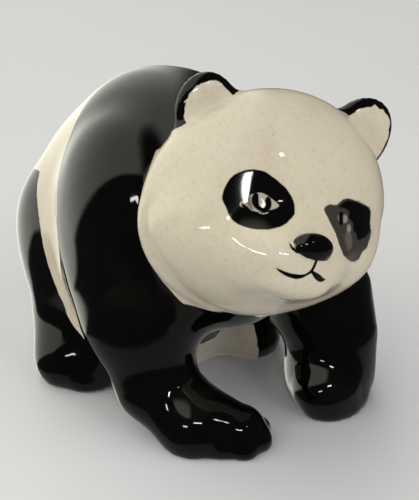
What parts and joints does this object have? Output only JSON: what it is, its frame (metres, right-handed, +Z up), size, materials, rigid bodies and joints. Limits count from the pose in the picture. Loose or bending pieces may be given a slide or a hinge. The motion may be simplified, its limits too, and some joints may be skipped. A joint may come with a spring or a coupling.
{
  "type": "panda figurine",
  "caption": "Small glazed earthenware figurine of a walking panda cub with lowered, tilted head, standing on its feet and belly.",
  "frame": {"origin": "middle of the bounding box, on the surface that the feet and belly stand on", "axes": "+X to the cub's left, -Y ahead of its body, +Z up"},
  "size_m": [0.079, 0.1144, 0.1],
  "materials": {
    "glazed_earthenware": "cream white gloss glaze with fine pinholes and crazing, black glaze on the legs, the band over the shoulders, the ear rims, the eye patches and the nose, brush painted eyes and mouth"
  },
  "bodies": {
    "root": {"panda": "glazed_earthenware"}
  },
  "joints": []
}
